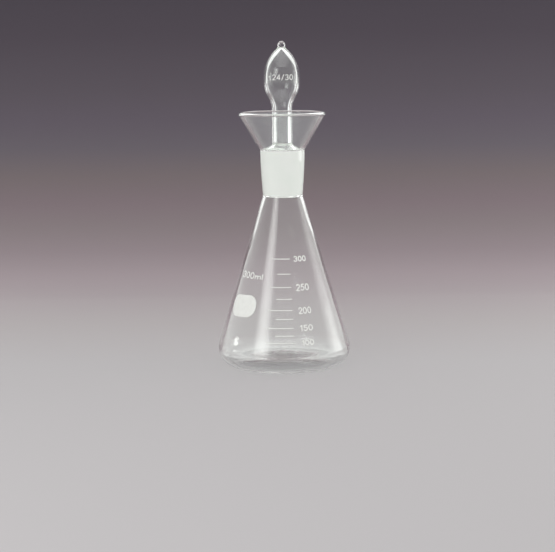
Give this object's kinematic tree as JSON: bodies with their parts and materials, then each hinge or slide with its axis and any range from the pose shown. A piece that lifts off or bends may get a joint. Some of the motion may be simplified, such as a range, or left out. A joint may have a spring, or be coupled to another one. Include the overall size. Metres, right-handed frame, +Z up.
{
  "type": "iodine flask",
  "caption": "Conical glass flask with a flared funnel collar, a ground tapered socket and a hollow pointed stopper that lifts out; white graduations and a marking spot on the front.",
  "frame": {"origin": "centre of the flat ring that the flask stands on", "axes": "+Z up along the axis of the glass; -Y is the front, where the graduation lines are; +X is to the right seen from the front"},
  "size_m": [0.089, 0.089, 0.2144],
  "materials": {
    "flask_glass": "clear borosilicate glass, ground white inside the socket",
    "stopper_glass": "clear borosilicate glass, ground white on the cone",
    "white_enamel": "fired white enamel, slightly matt"
  },
  "bodies": {
    "flask": {"flask": "flask_glass", "graduation_lines": "white_enamel", "marking_spot": "white_enamel"},
    "stopper": {"stopper": "stopper_glass"}
  },
  "joints": [
    {"name": "stopper_lift", "type": "slide", "parent": "flask", "child": "stopper", "axis": [0, 0, 1], "range_m": [0, 0.06]}
  ]
}
